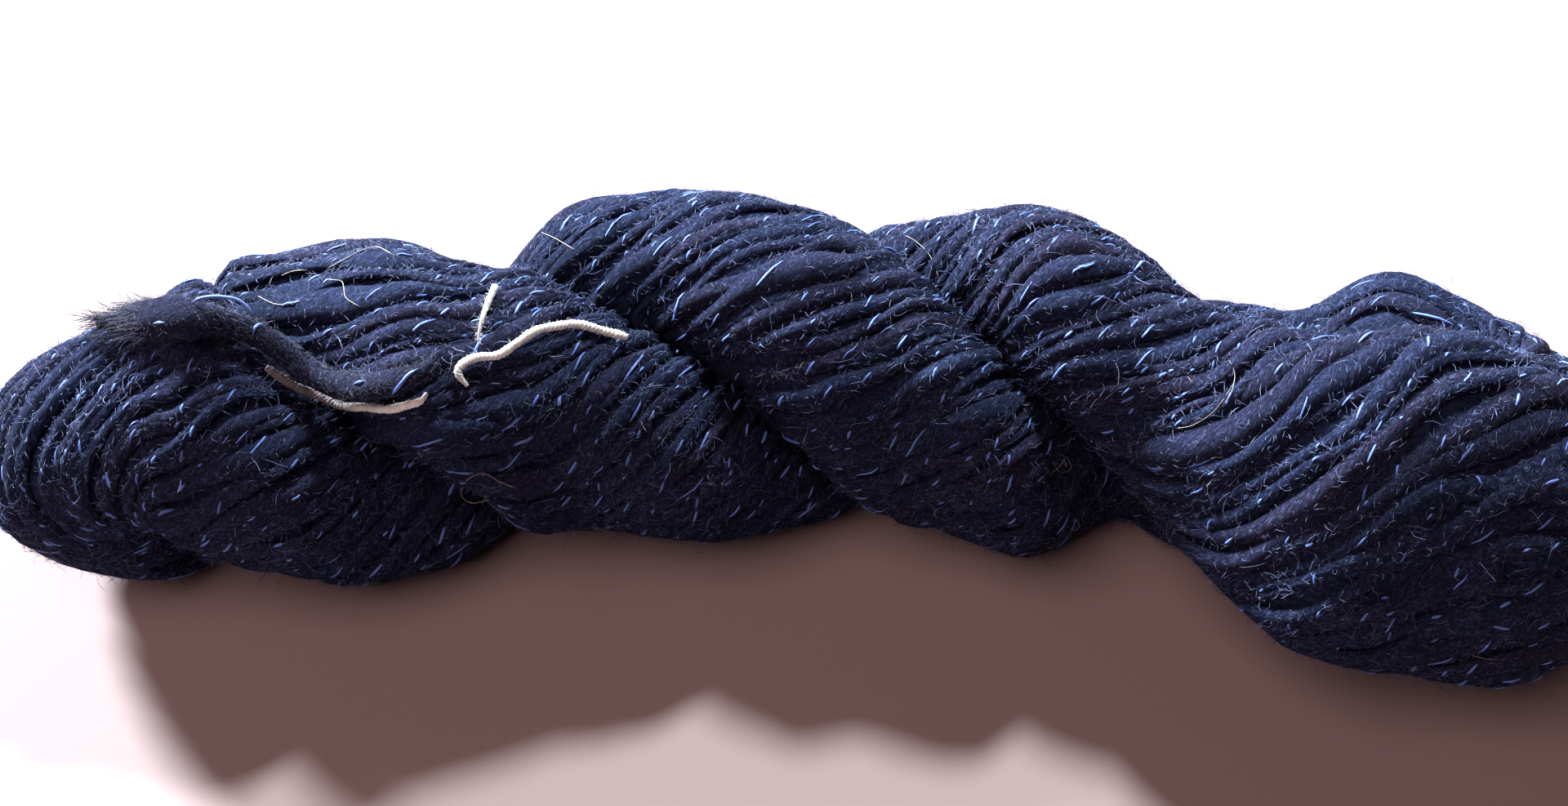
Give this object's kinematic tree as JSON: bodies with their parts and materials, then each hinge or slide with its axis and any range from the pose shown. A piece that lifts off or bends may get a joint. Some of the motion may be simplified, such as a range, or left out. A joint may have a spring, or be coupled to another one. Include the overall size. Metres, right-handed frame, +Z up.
{
  "type": "skein of yarn",
  "caption": "Twisted and folded skein of thick-and-thin wool yarn with a cotton tie and a loose yarn end, lying on a surface.",
  "frame": {"origin": "on the surface that the skein lies on, under the middle of its box, measured without the loose cords", "axes": "+X along the skein's length, from its folded end to its fatter looped end; +Z up"},
  "size_m": [0.382, 0.1218, 0.0841],
  "materials": {
    "wool": "matte, fuzzy navy wool singles with a thin glossy light-blue thread wound round them",
    "cotton": "matte cream cotton string"
  },
  "bodies": {
    "root": {"skein": "wool", "loose_end": "wool", "tie_band": "cotton", "tie_end_left": "cotton", "tie_end_right": "cotton"}
  },
  "joints": []
}
